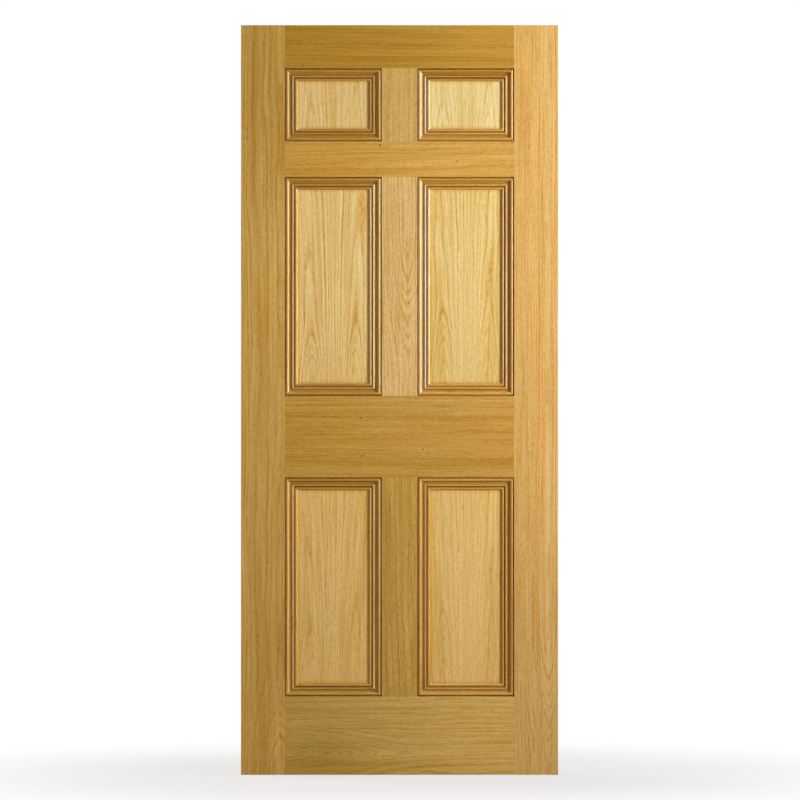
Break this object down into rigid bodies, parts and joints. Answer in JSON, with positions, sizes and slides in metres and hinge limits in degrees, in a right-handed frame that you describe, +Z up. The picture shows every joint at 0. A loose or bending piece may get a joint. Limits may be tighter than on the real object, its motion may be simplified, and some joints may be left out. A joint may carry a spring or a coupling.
{
  "type": "six-panel interior door",
  "caption": "Oak interior door leaf: flat recessed panels in a dowelled stile-and-rail frame, with mitred mouldings planted round each panel on both faces.",
  "frame": {"origin": "middle of the leaf's bottom edge, half way through its thickness", "axes": "+Z up the leaf, +X to the right seen from the front, front face towards -Y"},
  "size_m": [0.838, 0.035, 1.981],
  "materials": {
    "frame_oak": "satin clear lacquer on straight-grained oak",
    "panel_oak": "satin clear lacquer on crown-cut oak",
    "moulding_oak": "satin clear lacquer on oak, darker in the quirks",
    "dowel_beech": "bare fluted beech, glued in"
  },
  "bodies": {
    "root": {"left_stile": "frame_oak", "right_stile": "frame_oak", "top_rail": "frame_oak", "frieze_rail": "frame_oak", "lock_rail": "frame_oak", "bottom_rail": "frame_oak", "top_muntin": "frame_oak", "middle_muntin": "frame_oak", "bottom_muntin": "frame_oak", "top_left_panel": "panel_oak", "top_right_panel": "panel_oak", "middle_left_panel": "panel_oak", "middle_right_panel": "panel_oak", "bottom_left_panel": "panel_oak", "bottom_right_panel": "panel_oak", "top_left_head_mouldings": "moulding_oak", "top_left_foot_mouldings": "moulding_oak", "top_left_stile_mouldings": "moulding_oak", "top_left_muntin_mouldings": "moulding_oak", "top_right_head_mouldings": "moulding_oak", "top_right_foot_mouldings": "moulding_oak", "top_right_stile_mouldings": "moulding_oak", "top_right_muntin_mouldings": "moulding_oak", "middle_left_head_mouldings": "moulding_oak", "middle_left_foot_mouldings": "moulding_oak", "middle_left_stile_mouldings": "moulding_oak", "middle_left_muntin_mouldings": "moulding_oak", "middle_right_head_mouldings": "moulding_oak", "middle_right_foot_mouldings": "moulding_oak", "middle_right_stile_mouldings": "moulding_oak", "middle_right_muntin_mouldings": "moulding_oak", "bottom_left_head_mouldings": "moulding_oak", "bottom_left_foot_mouldings": "moulding_oak", "bottom_left_stile_mouldings": "moulding_oak", "bottom_left_muntin_mouldings": "moulding_oak", "bottom_right_head_mouldings": "moulding_oak", "bottom_right_foot_mouldings": "moulding_oak", "bottom_right_stile_mouldings": "moulding_oak", "bottom_right_muntin_mouldings": "moulding_oak", "top_rail_dowels": "dowel_beech", "frieze_rail_dowels": "dowel_beech", "lock_rail_dowels": "dowel_beech", "bottom_rail_dowels": "dowel_beech", "top_muntin_dowels": "dowel_beech", "middle_muntin_dowels": "dowel_beech", "bottom_muntin_dowels": "dowel_beech"}
  },
  "joints": []
}
